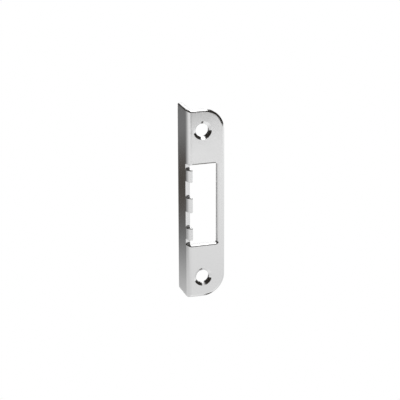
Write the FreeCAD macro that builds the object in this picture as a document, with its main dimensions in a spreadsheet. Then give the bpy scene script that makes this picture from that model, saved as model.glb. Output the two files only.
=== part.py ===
"""Angled door strike plate: one folded sheet whose latch opening is castellated along the bend.

Millimetres. +X runs along the face, away from the flange; +Y goes back into the door frame, the way the
flange points; +Z is up. The origin lies midway between the two screw holes, on the back of the face.
"""
import FreeCAD, Part

import math
import os

import Sketcher

SIZES = (
    # sheet and fold
    ("sheet_thickness", 2.5),
    ("bend_inside_radius", 0.5),
    # face, whose width counts from the flange's outer side
    ("plate_length", 110.0),
    ("face_width", 22.0),
    ("face_corner_radius", 12.8),
    # flange, whose depth counts from the front of the face
    ("flange_depth", 18.0),
    ("flange_corner_radius", 0.8),
    # countersunk screw holes
    ("screw_from_end", 12.0),
    ("screw_from_flange", 9.0),
    ("screw_bore", 7.6),
    ("screw_head_rim", 10.6),
    ("countersink_depth", 0.9),
    # latch opening: the rim is what the face keeps beside it, the notch is its depth at the flange
    ("opening_length", 46.8),
    ("opening_rim", 4.6),
    ("opening_notch", 3.4),
    ("opening_corner_radius", 0.8),
    # lugs that bridge the bend; a gap parts the end ones from the ends of the opening
    ("lug_reach", 3.3),
    ("lug_corner_radius", 0.7),
    ("middle_lug_length", 8.8),
    ("end_lug_length", 7.3),
    ("end_lug_gap", 2.7),
    # rounding of the outer skin's edges, the flange's also on the lugs
    ("face_edge_radius", 1.5),
    ("opening_edge_radius", 1.2),
    ("flange_edge_radius", 0.5),
)

CLOSE = 1e-4
CUT_BEYOND = 2.0
SAMPLES = 5
ORIGIN_POINT = (-1, 1)
LEVEL_AXIS = -1
START, END, CENTRE = 1, 2, 3


def make_sheet(doc):
    """Puts each driving dimension in a cell of its own, under its alias."""
    sheet = doc.addObject("Spreadsheet::Sheet", "Sizes")
    for row, (alias, value) in enumerate(SIZES, start=1):
        sheet.set(f"A{row}", alias.replace("_", " "))
        sheet.set(f"B{row}", str(value))
        sheet.setAlias(f"B{row}", alias)
    doc.recompute()
    return sheet


def bound(expression):
    """Writes the aliases in an expression as cells of the sheet."""
    return " ".join(f"Sizes.{word}" if word[0].isalpha() else word for word in expression.split())


def add_sketch(body, role, name):
    """Starts a sketch on one of the body's origin planes."""
    sketch = body.newObject("Sketcher::SketchObject", name)
    plane = next(item for item in body.Origin.OriginFeatures if item.Role == role)
    sketch.AttachmentSupport = [(plane, "")]
    sketch.MapMode = "FlatFace"
    return sketch


def add_front_sketch(body, name):
    """Starts a sketch on the front of the face, with +X across and +Z up."""
    sketch = add_sketch(body, "XZ_Plane", name)
    sketch.setExpression(".AttachmentOffset.Base.z", bound("sheet_thickness"))
    return sketch


def add_size(sketch, kind, *where, size):
    """Adds a dimension to a sketch and binds it to the sheet."""
    value = float(sketch.evalExpression(bound(size)))
    index = sketch.addConstraint(Sketcher.Constraint(kind, *where, value))
    sketch.setExpression(f"Constraints[{index}]", bound(size))


def add_feature(body, kind, name, **sizes):
    """Adds a feature to the body and binds its sizes."""
    feature = body.newObject(kind, name)
    for prop, expression in sizes.items():
        feature.setExpression(prop, bound(expression))
    return feature


def lies_at(edge, **place):
    """Whether both ends of an edge have each of the given coordinates."""
    points = [vertex.Point for vertex in edge.Vertexes]
    return all(abs(getattr(point, axis) - value) < CLOSE for point in points for axis, value in place.items())


def treat_edges(body, kind, name, test, **sizes):
    """Fillets or chamfers the edges of the body's last feature that a test accepts."""
    base = body.Tip
    chosen = [f"Edge{number}" for number, edge in enumerate(base.Shape.Edges, start=1) if test(edge)]
    feature = add_feature(body, kind, name, **sizes)
    feature.Base = (base, chosen)
    body.Document.recompute()
    return feature


def draw_fold(body, sheet):
    """Section through face, bend and flange, with one centre for both sides of the bend."""
    sketch = add_sketch(body, "XY_Plane", "FoldSection")
    thickness = sheet.sheet_thickness
    inside_radius = sheet.bend_inside_radius
    outer = -sheet.screw_from_flange
    right = sheet.face_width + outer
    flange_tip = sheet.flange_depth - thickness
    bend_centre = FreeCAD.Vector(outer + thickness + inside_radius, inside_radius, 0)

    def line(start, end):
        return Part.LineSegment(FreeCAD.Vector(*start, 0), FreeCAD.Vector(*end, 0))

    def bend(radius):
        circle = Part.Circle(bend_centre, FreeCAD.Vector(0, 0, 1), radius)
        return Part.ArcOfCircle(circle, math.pi, 1.5 * math.pi)

    sketch.addGeometry([
        line((right, -thickness), (bend_centre.x, -thickness)),
        bend(inside_radius + thickness),
        line((outer, inside_radius), (outer, flange_tip)),
        line((outer, flange_tip), (outer + thickness, flange_tip)),
        line((outer + thickness, flange_tip), (outer + thickness, inside_radius)),
        bend(inside_radius),
        line((bend_centre.x, 0), (right, 0)),
        line((right, 0), (right, -thickness)),
    ], False)
    face_front, outer_bend, flange_outside, flange_end, flange_inside, inner_bend, face_back, face_end = range(8)
    sketch.addConstraint([
        Sketcher.Constraint("Tangent", face_front, END, outer_bend, END),
        Sketcher.Constraint("Tangent", outer_bend, START, flange_outside, START),
        Sketcher.Constraint("Coincident", flange_outside, END, flange_end, START),
        Sketcher.Constraint("Coincident", flange_end, END, flange_inside, START),
        Sketcher.Constraint("Tangent", flange_inside, END, inner_bend, START),
        Sketcher.Constraint("Tangent", inner_bend, END, face_back, START),
        Sketcher.Constraint("Coincident", face_back, END, face_end, START),
        Sketcher.Constraint("Coincident", face_end, END, face_front, START),
        Sketcher.Constraint("Coincident", inner_bend, CENTRE, outer_bend, CENTRE),
        Sketcher.Constraint("Horizontal", face_front),
        Sketcher.Constraint("Vertical", flange_outside),
        Sketcher.Constraint("Horizontal", flange_end),
        Sketcher.Constraint("Vertical", flange_inside),
        Sketcher.Constraint("Horizontal", face_back),
        Sketcher.Constraint("Vertical", face_end),
        Sketcher.Constraint("PointOnObject", face_back, END, LEVEL_AXIS),
    ])
    add_size(sketch, "DistanceY", face_end, END, face_end, START, size="sheet_thickness")
    add_size(sketch, "Radius", inner_bend, size="bend_inside_radius")
    add_size(sketch, "DistanceX", *ORIGIN_POINT, face_back, END, size="face_width - screw_from_flange")
    add_size(sketch, "DistanceX", *ORIGIN_POINT, flange_outside, END, size="0 - screw_from_flange")
    add_size(sketch, "DistanceY", *ORIGIN_POINT, flange_outside, END, size="flange_depth - sheet_thickness")
    return sketch


def fold_sheet(body, sheet):
    """The bare angle, with the round corners of its face and flange."""
    pad = add_feature(body, "PartDesign::Pad", "FoldedSheet", Length="plate_length")
    pad.Profile = draw_fold(body, sheet)
    pad.SideType = "Symmetric"
    body.Document.recompute()

    half = sheet.plate_length / 2
    right = sheet.face_width - sheet.screw_from_flange
    flange_tip = sheet.flange_depth - sheet.sheet_thickness

    def is_face_corner(edge):
        return lies_at(edge, x=right, z=half) or lies_at(edge, x=right, z=-half)

    def is_flange_corner(edge):
        return lies_at(edge, y=flange_tip, z=half) or lies_at(edge, y=flange_tip, z=-half)

    treat_edges(body, "PartDesign::Fillet", "FaceCorners", is_face_corner, Radius="face_corner_radius")
    treat_edges(body, "PartDesign::Fillet", "FlangeCorners", is_flange_corner, Radius="flange_corner_radius")


def opening_corners():
    """Corners of the latch opening, a window whose left side runs round the lugs.

    Each is its place across and along and, where it is round, its radius.
    """
    right = "face_width - screw_from_flange - opening_rim"
    left = f"0 - screw_from_flange - {CUT_BEYOND}"
    top, bottom = "opening_length / 2", "0 - opening_length / 2"
    lug_end = "lug_reach - screw_from_flange"
    lugs = (
        ("end_lug_gap - opening_length / 2", "end_lug_gap + end_lug_length - opening_length / 2"),
        ("0 - middle_lug_length / 2", "middle_lug_length / 2"),
        ("opening_length / 2 - end_lug_gap - end_lug_length", "opening_length / 2 - end_lug_gap"),
    )
    corners = [(right, top, "opening_corner_radius"), (right, bottom, "opening_corner_radius"), (left, bottom)]
    for low, high in lugs:
        corners += [(left, low), (lug_end, low, "lug_corner_radius")]
        corners += [(lug_end, high, "lug_corner_radius"), (left, high)]
    corners.append((left, top))
    return corners


def draw_outline(sketch, corners):
    """Closed outline of level and upright lines, joined by tangent arcs at the round corners."""
    values = [[float(sketch.evalExpression(bound(value))) for value in corner] for corner in corners]
    places = [FreeCAD.Vector(value[0], value[1], 0) for value in values]
    radii = [value[2] if len(value) > 2 else 0.0 for value in values]
    count = len(corners)
    headings = [(places[(number + 1) % count] - places[number]).normalize() for number in range(count)]
    starts = [places[number] + headings[number] * radii[number] for number in range(count)]
    ends = [places[number] - headings[number - 1] * radii[number] for number in range(count)]
    for number in range(count):
        sketch.addGeometry(Part.LineSegment(starts[number], ends[(number + 1) % count]), False)
    arcs = {}
    for number in range(count):
        if radii[number]:
            outward = (headings[number - 1] - headings[number]).normalize()
            middle = ends[number] + (headings[number] + outward) * radii[number]
            arcs[number] = sketch.addGeometry(Part.Arc(ends[number], middle, starts[number]), False)
    for number in range(count):
        level = abs(headings[number].x) > abs(headings[number].y)
        sketch.addConstraint(Sketcher.Constraint("Horizontal" if level else "Vertical", number))
        kind, size = ("DistanceY", corners[number][1]) if level else ("DistanceX", corners[number][0])
        add_size(sketch, kind, *ORIGIN_POINT, number, START, size=size)
        before = (number - 1) % count
        if number not in arcs:
            sketch.addConstraint(Sketcher.Constraint("Coincident", before, END, number, START))
            continue
        arc = arcs[number]
        runs_along = sketch.getPoint(arc, START).distanceToPoint(ends[number]) < CLOSE
        first, last = (START, END) if runs_along else (END, START)
        sketch.addConstraint(Sketcher.Constraint("Tangent", before, END, arc, first))
        sketch.addConstraint(Sketcher.Constraint("Tangent", arc, last, number, START))
        add_size(sketch, "Radius", arc, size=corners[number][2])


def cut_opening(body):
    """Latch opening, cut through the face and on through the bend between the lugs."""
    sketch = add_front_sketch(body, "OpeningOutline")
    draw_outline(sketch, opening_corners())
    pocket = add_feature(body, "PartDesign::Pocket", "LatchOpening", Length="opening_notch")
    pocket.Profile = sketch
    body.Document.recompute()


def cut_screw_holes(body, sheet):
    """Two bores through the face, with their front rims opened out for countersunk heads."""
    sketch = add_front_sketch(body, "ScrewCircles")
    for number, sign in enumerate((1, -1)):
        centre = FreeCAD.Vector(0, sign * (sheet.plate_length / 2 - sheet.screw_from_end), 0)
        sketch.addGeometry(Part.Circle(centre, FreeCAD.Vector(0, 0, 1), sheet.screw_bore / 2), False)
        sketch.addConstraint(Sketcher.Constraint("Vertical", *ORIGIN_POINT, number, CENTRE))
        height = f"{sign} * ( plate_length / 2 - screw_from_end )"
        add_size(sketch, "DistanceY", *ORIGIN_POINT, number, CENTRE, size=height)
        add_size(sketch, "Diameter", number, size="screw_bore")
    pocket = add_feature(body, "PartDesign::Pocket", "ScrewBores")
    pocket.Profile = sketch
    pocket.Type = "ThroughAll"
    body.Document.recompute()

    def is_rim(edge):
        return edge.isClosed() and lies_at(edge, y=-sheet.sheet_thickness)

    sizes = {"Size": "( screw_head_rim - screw_bore ) / 2", "Size2": "countersink_depth"}
    countersinks = treat_edges(body, "PartDesign::Chamfer", "Countersinks", is_rim, **sizes)
    countersinks.ChamferType = "Two distances"
    body.Document.recompute()


def make_body(doc, sheet):
    """The folded and pierced plate, before its edges are rounded."""
    body = doc.addObject("PartDesign::Body", "PiercedPlate")
    fold_sheet(body, sheet)
    cut_opening(body)
    cut_screw_holes(body, sheet)
    return body


def reaches_past(points, across, along):
    """Whether any of the points lies further out than a distance to the right or along the plate."""
    return any(point.x > across + CLOSE or abs(point.z) > along + CLOSE for point in points)


def skin_radii(edge, sheet):
    """Radii of an edge of the outer skin at its two ends, or nothing for any other edge.

    The skin is the front of the face, the outside of the bend and the outside of the flange.
    """
    outer = -sheet.screw_from_flange
    front = -sheet.sheet_thickness
    radius = sheet.bend_inside_radius + sheet.sheet_thickness
    centre = FreeCAD.Vector(outer + radius, front + radius, 0)
    points = edge.discretize(SAMPLES)

    def off_skin(point):
        if point.x > centre.x:
            return abs(point.y - front)
        if point.y > centre.y:
            return abs(point.x - outer)
        return abs(FreeCAD.Vector(point.x, point.y, 0).distanceToPoint(centre) - radius)

    def off_notch(point):
        return abs(point.y - front - sheet.opening_notch)

    on_bend_line = lies_at(edge, x=centre.x, y=front) or lies_at(edge, x=outer, y=centre.y)
    if edge.isClosed() or on_bend_line or max(off_skin(point) for point in points) > CLOSE:
        return None
    if max(off_notch(point) for point in points) < CLOSE:
        return None
    at_tip = lies_at(edge, y=sheet.flange_depth - sheet.sheet_thickness)
    lug_right = sheet.lug_reach - sheet.screw_from_flange
    lug_top = sheet.opening_length / 2 - sheet.end_lug_gap
    if not at_tip and not reaches_past(points, lug_right, lug_top):
        return sheet.flange_edge_radius, sheet.flange_edge_radius
    window_right = sheet.face_width - sheet.screw_from_flange - sheet.opening_rim
    window_top = sheet.opening_length / 2
    is_outside = at_tip or reaches_past(points, window_right, window_top)
    wide = sheet.face_edge_radius if is_outside else sheet.opening_edge_radius
    ends = (edge.firstVertex(True).Point, edge.lastVertex(True).Point)
    return tuple(wide if abs(point.y - front) < CLOSE else sheet.flange_edge_radius for point in ends)


def round_edges(doc, body, sheet):
    """Rounds the outer skin's edges: wide round the face, narrowing over the bend to the flange."""
    rounded = []
    for number, edge in enumerate(body.Shape.Edges, start=1):
        radii = skin_radii(edge, sheet)
        if radii:
            rounded.append((number, *radii))
    plate = doc.addObject("Part::Fillet", "StrikePlate")
    plate.Label = "strike_plate"
    plate.Base = body
    plate.Edges = rounded
    doc.recompute()
    return plate


def check(doc, piece):
    """Stops the build if a feature failed or the piece isn't one sound solid."""
    failed = [item.Name for item in doc.Objects if "Invalid" in item.State or "Error" in item.State]
    if failed:
        raise RuntimeError(f"features that failed: {failed}")
    shape = piece.Shape
    if shape.isNull() or not shape.isValid() or len(shape.Solids) != 1:
        raise RuntimeError(f"{piece.Label} is not one valid solid")


def main():
    doc = FreeCAD.newDocument("DoorStrikePlate")
    sheet = make_sheet(doc)
    body = make_body(doc, sheet)
    plate = round_edges(doc, body, sheet)
    check(doc, plate)
    os.makedirs("parts", exist_ok=True)
    plate.Shape.exportStep(f"parts/{plate.Label}.step")
    print(f"{plate.Label}: {plate.Shape.Volume:.1f} mm3, {len(plate.Shape.Faces)} faces")


main()
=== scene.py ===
"""Satin steel finish and studio for a folded door strike plate."""

import math

import bpy
from bpy.props import FloatProperty, FloatVectorProperty, PointerProperty
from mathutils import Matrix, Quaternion, Vector


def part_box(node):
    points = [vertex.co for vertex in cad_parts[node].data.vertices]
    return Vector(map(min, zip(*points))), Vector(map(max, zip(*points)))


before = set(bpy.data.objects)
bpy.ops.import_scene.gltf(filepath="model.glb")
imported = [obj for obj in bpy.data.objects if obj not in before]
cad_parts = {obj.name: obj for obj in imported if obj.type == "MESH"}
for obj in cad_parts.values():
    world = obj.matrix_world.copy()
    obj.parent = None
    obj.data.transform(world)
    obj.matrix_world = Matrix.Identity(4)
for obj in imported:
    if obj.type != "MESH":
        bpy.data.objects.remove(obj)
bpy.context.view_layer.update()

bl_info = {
    "name": "Door Strike Plate",
    "version": (1, 0, 0),
    "blender": (4, 5, 0),
    "location": "3D View > Sidebar > Strike Plate",
    "description": "Gives the folded strike plate its satin steel and sets up its studio",
    "category": "Object",
}

PLATE = "strike_plate"
WHITE = (1.0, 1.0, 1.0, 1.0)

# Lengths and places are in metres. Bearings are in degrees: 0 behind the plate, 90 on its right.

# Edges worn wide: how far they reach from the flange's ends, and the zone beside the opening, by its
# distances from the plate's right edge and its height above and below the middle.
WORN_END = 0.003
WORN_SIDE = (0.0033, 0.0048)
WORN_SIDE_HEIGHT = 0.0232

# Clouds that vary the steel: how fine they are, and how far gloss and tint follow them.
CLOUDS_PER_METRE = 90.0
CLOUD_RANGE = (0.3, 0.7)
GLOSS_SHARES = (0.9, 1.1)
TINT_SHARES = (0.985, 1.015)

# Brightness of the floor's painted light and shade, seen only in reflections, by bearing.
FLOOR_ROUND = (
    (0.0, 0.95),
    (162.0, 0.96),
    (200.0, 0.92),
    (220.0, 0.9),
    (243.0, 0.8),
    (267.0, 0.57),
    (295.0, 0.34),
    (318.0, 0.26),
    (352.0, 0.2),
    (358.0, 0.95),
)
# That brightness grows with distance: its share at the plate, the growth per metre and where it ends.
FLOOR_GROWTH = (0.705, 0.5, 1.05)
# Least brightness by distance, which keeps the floor near the plate pale on every side.
FLOOR_LEAST = (
    (0.49, 0.88),
    (0.55, 0.78),
    (0.6, 0.66),
    (0.65, 0.5),
    (0.74, 0.3),
    (0.8, 0.2),
)
# Brightness by distance in the sector of painted shade behind the flange, and the bearings of its soft sides.
SECTOR = (
    (0.0, 0.3),
    (0.42, 0.64),
    (0.49, 0.63),
    (0.57, 0.38),
    (0.65, 0.175),
    (0.75, 0.085),
    (0.87, 0.075),
    (1.03, 0.225),
    (1.3, 0.15),
)
SECTOR_LEFT = (322.0, 334.0)
SECTOR_RIGHT = (350.0, 357.0)
# Painted pool of light on the floor in front of the plate: its middle and the radii between which it fades.
POOL_MIDDLE = (0.02, -0.27)
POOL_FADE = (0.17, 0.22)
# Painted strip of shade on the floor below the plate: its middle, half its width and length, and where in
# them it fades.
SHADE_MIDDLE = (0.1, 0.04)
SHADE_HALF = (0.028, 0.3)
SHADE_FADE = (0.8, 1.1)
# Brightness of the floor's painted light at which its painted shade turns from brown to grey.
WARM_FADE = (0.08, 0.2)

# The floor's mesh: its radius, its edge behind the plate, and its rings and spokes.
FLOOR_RADIUS = 3.2
FLOOR_BACK = 3.0
FLOOR_RINGS = 160
FLOOR_SPOKES = 240
FLOOR_COLOUR = (0.9, 0.9, 0.9, 1.0)
ROOM_COLOUR = (0.034, 0.03, 0.027, 1.0)

# White cards: where they stand, and the heights of their lower and upper edges from the plate's middle.
BACK_CARD_FOOT = ((0.05, 0.9), (0.52, 0.72))
BACK_CARD_HEIGHTS = (0.05, 0.46)
FRONT_CARD_DISTANCE = 0.35
FRONT_CARD_BEARINGS = range(145, 191, 5)
FRONT_CARD_HEIGHTS = (0.0, 0.05)

# Width, length and place of the strip lamp, as shares of its height.
LAMP_SIZE = (0.68, 2.33)
LAMP_PLACE = (0.28, -0.165, 1.0)


class SteelFinish(bpy.types.PropertyGroup):
    """Colour and surface of the satin steel."""

    colour: FloatVectorProperty(
        name="Steel",
        description="Colour of the bare steel",
        default=(0.72, 0.72, 0.72),
        size=3,
        min=0.0,
        max=1.0,
        subtype="COLOR",
    )
    roughness: FloatProperty(
        name="Roughness",
        description="Roughness of the tumbled faces",
        default=0.14,
        min=0.0,
        max=1.0,
        subtype="FACTOR",
    )
    fine_rounding: FloatProperty(
        name="Fine rounding",
        description="Radius to which tumbling has worn every edge",
        default=0.00015,
        min=0.0,
        unit="LENGTH",
    )
    wide_rounding: FloatProperty(
        name="Wide rounding",
        description="Radius to which the flange's ends and the side of the opening are worn",
        default=0.0013,
        min=0.0,
        unit="LENGTH",
    )
    grain_size: FloatProperty(
        name="Grain",
        description="Size of the fine mottle that tumbling leaves",
        default=0.0004,
        min=0.00001,
        unit="LENGTH",
    )
    grain_depth: FloatProperty(
        name="Grain depth",
        description="Height of the mottle",
        default=0.000002,
        min=0.0,
        unit="LENGTH",
    )


class PlateStudio(bpy.types.PropertyGroup):
    """Floor, cards, lamp and camera."""

    camera_azimuth: FloatProperty(
        name="Camera azimuth",
        description="How far the camera stands to the left of the face",
        default=math.radians(17.4),
        subtype="ANGLE",
    )
    camera_elevation: FloatProperty(
        name="Camera elevation",
        description="How far the camera stands above the plate",
        default=math.radians(18.6),
        subtype="ANGLE",
    )
    camera_roll: FloatProperty(
        name="Camera roll",
        description="How far the camera leans about its own line of sight",
        default=math.radians(0.18),
        subtype="ANGLE",
    )
    camera_distance: FloatProperty(
        name="Camera distance",
        description="Distance from the camera to the plate",
        default=0.9,
        min=0.1,
        unit="LENGTH",
    )
    camera_target: FloatVectorProperty(
        name="Camera target",
        description="Point of the plate in the middle of the picture",
        default=(-0.00165, -0.0025, 0.00298),
        size=3,
        subtype="XYZ",
        unit="LENGTH",
    )
    camera_lens: FloatProperty(
        name="Lens",
        description="Focal length in millimetres on a 36 mm sensor",
        default=145.52,
        min=1.0,
    )
    floor_drop: FloatProperty(
        name="Floor drop",
        description="Height of the plate's middle above the floor",
        default=0.25,
        min=0.06,
        unit="LENGTH",
    )
    floor_front: FloatProperty(
        name="Floor front",
        description="Distance from the plate to the floor's front edge",
        default=1.08,
        min=0.1,
        unit="LENGTH",
    )
    # Brightness of the painted pool of light on the floor.
    painted_pool_light: FloatProperty(
        name="Pool light",
        description="Brightness of the pool of light on the floor in front of the plate",
        default=1.12,
        min=0.0,
    )
    # Brightness of the painted strip of shade on the floor.
    painted_shade_light: FloatProperty(
        name="Shade",
        description="Brightness of the strip of shade on the floor below the plate",
        default=0.02,
        min=0.0,
    )
    # Brown tint of the floor's painted shade.
    painted_shade_warmth: FloatProperty(
        name="Warmth of the shade",
        description="How far the darkest parts of the floor lean from grey to brown",
        default=0.009,
        min=0.0,
        max=0.02,
    )
    front_card_light: FloatProperty(
        name="Front card light",
        description="Brightness of the low white card in front of the plate",
        default=0.95,
        min=0.0,
    )
    back_card_light: FloatProperty(
        name="Back card light",
        description="Brightness of the white card behind the plate",
        default=1.35,
        min=0.0,
    )
    lamp_height: FloatProperty(
        name="Lamp height",
        description="Height of the strip lamp above the plate",
        default=0.6,
        min=0.1,
        unit="LENGTH",
    )
    lamp_power: FloatProperty(
        name="Lamp power",
        description="Power of the strip lamp",
        default=4.0,
        min=0.0,
        subtype="POWER",
    )


def add_node(tree, kind, **values):
    """Adds a shader node; keywords set its attributes or its input sockets."""
    node = tree.nodes.new(kind)
    for key, value in values.items():
        if hasattr(node, key):
            setattr(node, key, value)
        else:
            node.inputs[key.replace("_", " ")].default_value = value
    return node


def empty_tree(owner):
    """Empties the nodes of a material or world and returns its tree."""
    owner.use_nodes = True
    owner.node_tree.nodes.clear()
    return owner.node_tree


def mix_shaders(tree, share, first, second):
    """Mixes two shaders and returns the result: the first at a share of 0, the second at 1."""
    mix = add_node(tree, "ShaderNodeMixShader")
    for output, socket in zip((share, first, second), mix.inputs):
        tree.links.new(output, socket)
    return mix.outputs["Shader"]


def reckon(tree, operation, *values):
    """Adds a calculation with one or two numbers or sockets and returns its result."""
    node = add_node(tree, "ShaderNodeMath", operation=operation)
    for socket, value in zip(node.inputs, values):
        if isinstance(value, bpy.types.NodeSocket):
            tree.links.new(value, socket)
        else:
            socket.default_value = value
    return node.outputs["Value"]


def edge_rounding(tree, place, settings):
    """How far tumbling has rounded the edges: most at the flange's ends and beside the opening."""
    split = add_node(tree, "ShaderNodeSeparateXYZ")
    tree.links.new(place.outputs["Object"], split.inputs["Vector"])
    across, back, along = (split.outputs[axis] for axis in "XYZ")
    height = reckon(tree, "ABSOLUTE", along)
    right, _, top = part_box(PLATE)[1]
    at_end = reckon(tree, "GREATER_THAN", height, top - WORN_END)
    on_flange = reckon(tree, "GREATER_THAN", back, 0.0)
    flange_end = reckon(tree, "MULTIPLY", at_end, on_flange)
    outward = reckon(tree, "GREATER_THAN", across, right - WORN_SIDE[1])
    inward = reckon(tree, "LESS_THAN", across, right - WORN_SIDE[0])
    level = reckon(tree, "LESS_THAN", height, WORN_SIDE_HEIGHT)
    beside = reckon(tree, "MULTIPLY", reckon(tree, "MULTIPLY", outward, inward), level)
    worn = reckon(tree, "MAXIMUM", flange_end, beside)
    return reckon(tree, "ADD", reckon(tree, "MULTIPLY", worn, settings.wide_rounding), settings.fine_rounding)


def make_steel(settings):
    """Satin steel: worn edges, fine mottle in its height, a little variation in gloss and tint."""
    material = bpy.data.materials.new("satin_steel_finish")
    material.use_nodes = True
    tree = material.node_tree
    shader = tree.nodes["Principled BSDF"]
    shader.inputs["Metallic"].default_value = 1.0
    place = add_node(tree, "ShaderNodeTexCoord")

    rounding = add_node(tree, "ShaderNodeBevel", samples=8)
    tree.links.new(edge_rounding(tree, place, settings), rounding.inputs["Radius"])
    mottle = add_node(tree, "ShaderNodeTexNoise", Scale=1.0 / settings.grain_size, Detail=2.0)
    tree.links.new(place.outputs["Object"], mottle.inputs["Vector"])
    height = add_node(tree, "ShaderNodeBump", Strength=1.0, Distance=settings.grain_depth)
    tree.links.new(mottle.outputs["Fac"], height.inputs["Height"])
    tree.links.new(rounding.outputs["Normal"], height.inputs["Normal"])
    tree.links.new(height.outputs["Normal"], shader.inputs["Normal"])

    cloud = add_node(tree, "ShaderNodeTexNoise", Scale=CLOUDS_PER_METRE, Detail=3.0)
    tree.links.new(place.outputs["Object"], cloud.inputs["Vector"])
    gloss = add_node(tree, "ShaderNodeMapRange", From_Min=CLOUD_RANGE[0], From_Max=CLOUD_RANGE[1])
    for name, share in zip(("To Min", "To Max"), GLOSS_SHARES):
        gloss.inputs[name].default_value = settings.roughness * share
    tree.links.new(cloud.outputs["Fac"], gloss.inputs["Value"])
    tree.links.new(gloss.outputs["Result"], shader.inputs["Roughness"])
    tint = add_node(tree, "ShaderNodeMix", data_type="RGBA")
    shades = [socket for socket in tint.inputs if socket.type == "RGBA"]
    for socket, share in zip(shades, TINT_SHARES):
        socket.default_value = (*(Vector(settings.colour) * share), 1.0)
    tree.links.new(cloud.outputs["Fac"], tint.inputs["Factor"])
    tree.links.new(next(out for out in tint.outputs if out.type == "RGBA"), shader.inputs["Base Color"])
    return material


class STRIKEPLATE_OT_finish(bpy.types.Operator):
    """Gives the folded plate its satin steel"""

    bl_idname = "strikeplate.finish"
    bl_label = "Finish plate"

    def execute(self, context):
        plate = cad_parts.get(PLATE)
        if plate is None:
            raise RuntimeError("The packed model has no strike plate")
        steel = make_steel(context.scene.steel_finish)
        for slot in plate.material_slots:
            slot.material = steel
        return {"FINISHED"}


def between(value, start, end):
    """Soft step from 0 at start to 1 at end."""
    share = min(max((value - start) / (end - start), 0.0), 1.0)
    return share * share * (3.0 - 2.0 * share)


def read_off(table, value):
    """Reads a value off a table, in straight lines between its rows."""
    if value <= table[0][0]:
        return table[0][1]
    for (low, first), (high, second) in zip(table, table[1:]):
        if value <= high:
            return first + (second - first) * (value - low) / (high - low)
    return table[-1][1]


def painted_floor_light(settings, x, y):
    """Brightness of the painted light and shade that the floor shows in reflections at a place, with the
    plate above its middle.
    """
    away = math.hypot(x, y)
    bearing = math.degrees(math.atan2(x, y)) % 360.0
    share, growth, end = FLOOR_GROWTH
    level = read_off(FLOOR_ROUND, bearing) * (share + growth * min(away, end))
    level = max(level, read_off(FLOOR_LEAST, away))
    sector = between(bearing, *SECTOR_LEFT) * (1.0 - between(bearing, *SECTOR_RIGHT))
    level += (read_off(SECTOR, away) - level) * sector
    # Painted pool of light in front of the plate.
    pool = 1.0 - between(math.dist((x, y), POOL_MIDDLE), *POOL_FADE)
    level += (settings.painted_pool_light - level) * pool
    # Painted strip of shade below the plate.
    offset = ((at - middle) / half for at, middle, half in zip((x, y), SHADE_MIDDLE, SHADE_HALF))
    shade = 1.0 - between(math.hypot(*offset), *SHADE_FADE)
    return level + (settings.painted_shade_light - level) * shade


def make_floor_material():
    """White to the camera, glowing with its painted light and shade in reflections, and matt to the lamp."""
    material = bpy.data.materials.new("pale_floor")
    tree = empty_tree(material)
    path = add_node(tree, "ShaderNodeLightPath")
    matt = add_node(tree, "ShaderNodeBsdfDiffuse", Color=FLOOR_COLOUR)
    white = add_node(tree, "ShaderNodeEmission", Color=WHITE, Strength=1.0)
    # The floor's painted light and shade, which only reflections see.
    light = add_node(tree, "ShaderNodeVertexColor", layer_name="light")
    lit = add_node(tree, "ShaderNodeEmission", Strength=1.0)
    tree.links.new(light.outputs["Color"], lit.inputs["Color"])
    seen = mix_shaders(tree, path.outputs["Is Camera Ray"], matt.outputs["BSDF"], white.outputs["Emission"])
    surface = mix_shaders(tree, path.outputs["Is Glossy Ray"], seen, lit.outputs["Emission"])
    out = add_node(tree, "ShaderNodeOutputMaterial")
    tree.links.new(surface, out.inputs["Surface"])
    return material


def make_floor(settings):
    """Pale floor of rings and spokes, whose painted light in reflections is bright in front of the plate and
    darker on its left and behind it.
    """
    rings = [FLOOR_RADIUS * (ring / FLOOR_RINGS) ** 2 for ring in range(1, FLOOR_RINGS + 1)]
    spokes = [math.tau * spoke / FLOOR_SPOKES for spoke in range(FLOOR_SPOKES)]
    points = [(0.0, 0.0, 0.0)]
    for ring in rings:
        for spoke in spokes:
            y = min(max(ring * math.cos(spoke), -settings.floor_front), FLOOR_BACK)
            points.append((ring * math.sin(spoke), y, 0.0))
    faces = [(0, 1 + (spoke + 1) % FLOOR_SPOKES, 1 + spoke) for spoke in range(FLOOR_SPOKES)]
    for inner in range(1, 1 + (FLOOR_RINGS - 1) * FLOOR_SPOKES, FLOOR_SPOKES):
        outer = inner + FLOOR_SPOKES
        for spoke in range(FLOOR_SPOKES):
            after = (spoke + 1) % FLOOR_SPOKES
            faces.append((inner + spoke, inner + after, outer + after, outer + spoke))
    mesh = bpy.data.meshes.new("floor")
    mesh.from_pydata(points, [], faces)
    # Painted light and shade of the floor, stored at its points.
    light = mesh.color_attributes.new("light", "FLOAT_COLOR", "POINT")
    for entry, (x, y, _) in zip(light.data, points):
        level = painted_floor_light(settings, x, y)
        # The floor's painted shade leans to brown where it is darkest.
        warmth = settings.painted_shade_warmth * (1.0 - between(level, *WARM_FADE))
        entry.color = (level + warmth, level, level - warmth, 1.0)
    mesh.materials.append(make_floor_material())
    floor = bpy.data.objects.new("floor", mesh)
    floor.location = (0.0, 0.0, -settings.floor_drop)
    bpy.context.scene.collection.objects.link(floor)


def make_card(name, brightness, foot, heights):
    """White card that stands on a line of points and shows only in reflections."""
    material = bpy.data.materials.new(name)
    tree = empty_tree(material)
    glow = add_node(tree, "ShaderNodeEmission", Color=WHITE, Strength=brightness)
    out = add_node(tree, "ShaderNodeOutputMaterial")
    tree.links.new(glow.outputs["Emission"], out.inputs["Surface"])
    count = len(foot)
    points = [(*place, height) for height in heights for place in foot]
    faces = [(number, number + 1, count + number + 1, count + number) for number in range(count - 1)]
    mesh = bpy.data.meshes.new(name)
    mesh.from_pydata(points, [], faces)
    mesh.materials.append(material)
    card = bpy.data.objects.new(name, mesh)
    card.visible_camera = False
    bpy.context.scene.collection.objects.link(card)


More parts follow.
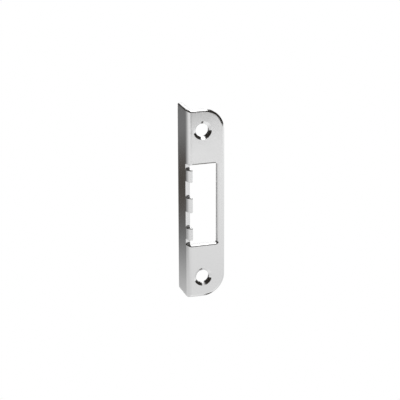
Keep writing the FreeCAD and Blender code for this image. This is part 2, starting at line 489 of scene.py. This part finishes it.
def make_cards(settings):
    """A white card behind the plate for edges that face up, and a low curved one in front of it."""
    make_card("back_card", settings.back_card_light, BACK_CARD_FOOT, BACK_CARD_HEIGHTS)
    bearings = [math.radians(bearing) for bearing in FRONT_CARD_BEARINGS]
    curve = [
        (FRONT_CARD_DISTANCE * math.sin(bearing), FRONT_CARD_DISTANCE * math.cos(bearing))
        for bearing in bearings
    ]
    make_card("front_card", settings.front_card_light, curve, FRONT_CARD_HEIGHTS)


def make_world():
    """Dim room round the set; the picture's background is white."""
    world = bpy.data.worlds.new("studio_room")
    tree = empty_tree(world)
    path = add_node(tree, "ShaderNodeLightPath")
    room, white = (
        add_node(tree, "ShaderNodeBackground", Color=colour, Strength=1.0).outputs["Background"]
        for colour in (ROOM_COLOUR, WHITE)
    )
    out = add_node(tree, "ShaderNodeOutputWorld")
    tree.links.new(mix_shaders(tree, path.outputs["Is Camera Ray"], room, white), out.inputs["Surface"])
    bpy.context.scene.world = world


def make_lamp(settings):
    """Strip lamp above the plate, narrow across and long from front to back."""
    data = bpy.data.lights.new("strip_lamp", "AREA")
    data.shape = "RECTANGLE"
    data.size, data.size_y = (side * settings.lamp_height for side in LAMP_SIZE)
    data.energy = settings.lamp_power
    lamp = bpy.data.objects.new("strip_lamp", data)
    lamp.location = Vector(LAMP_PLACE) * settings.lamp_height
    bpy.context.scene.collection.objects.link(lamp)


def make_camera(settings):
    """Camera at the picture's viewing angle."""
    across = math.cos(settings.camera_elevation)
    forward = Vector(
        (
            math.sin(settings.camera_azimuth) * across,
            math.cos(settings.camera_azimuth) * across,
            -math.sin(settings.camera_elevation),
        )
    )
    data = bpy.data.cameras.new("camera")
    data.sensor_width = 36.0
    data.lens = settings.camera_lens
    data.clip_start = 0.01
    camera = bpy.data.objects.new("camera", data)
    camera.location = Vector(settings.camera_target) - forward * settings.camera_distance
    camera.rotation_mode = "QUATERNION"
    lean = Quaternion(forward, settings.camera_roll)
    camera.rotation_quaternion = lean @ forward.to_track_quat("-Z", "Y")
    bpy.context.scene.collection.objects.link(camera)
    bpy.context.scene.camera = camera


class STRIKEPLATE_OT_studio(bpy.types.Operator):
    """Sets up the floor, the cards, the room, the strip lamp and the camera"""

    bl_idname = "strikeplate.studio"
    bl_label = "Set up studio"

    def execute(self, context):
        settings = context.scene.plate_studio
        make_floor(settings)
        make_cards(settings)
        make_world()
        make_lamp(settings)
        make_camera(settings)
        context.scene.view_settings.view_transform = "Standard"
        return {"FINISHED"}


class STRIKEPLATE_PT_panel(bpy.types.Panel):
    """Settings and steps for the strike plate"""

    bl_label = "Door Strike Plate"
    bl_space_type = "VIEW_3D"
    bl_region_type = "UI"
    bl_category = "Strike Plate"

    def draw(self, context):
        for title, settings, operator in (
            ("Steel", context.scene.steel_finish, STRIKEPLATE_OT_finish),
            ("Studio", context.scene.plate_studio, STRIKEPLATE_OT_studio),
        ):
            box = self.layout.box()
            box.label(text=title)
            for name in settings.__annotations__:
                box.prop(settings, name)
            box.operator(operator.bl_idname)


CLASSES = (
    SteelFinish,
    PlateStudio,
    STRIKEPLATE_OT_finish,
    STRIKEPLATE_OT_studio,
    STRIKEPLATE_PT_panel,
)


def register():
    """Registers the classes and their settings."""
    for cls in CLASSES:
        bpy.utils.register_class(cls)
    bpy.types.Scene.steel_finish = PointerProperty(type=SteelFinish)
    bpy.types.Scene.plate_studio = PointerProperty(type=PlateStudio)


def unregister():
    """Removes the classes and their settings."""
    del bpy.types.Scene.plate_studio
    del bpy.types.Scene.steel_finish
    for cls in reversed(CLASSES):
        bpy.utils.unregister_class(cls)


def main():
    """Builds the scene."""
    register()
    bpy.ops.strikeplate.finish()
    bpy.ops.strikeplate.studio()


if __name__ == "__main__":
    main()
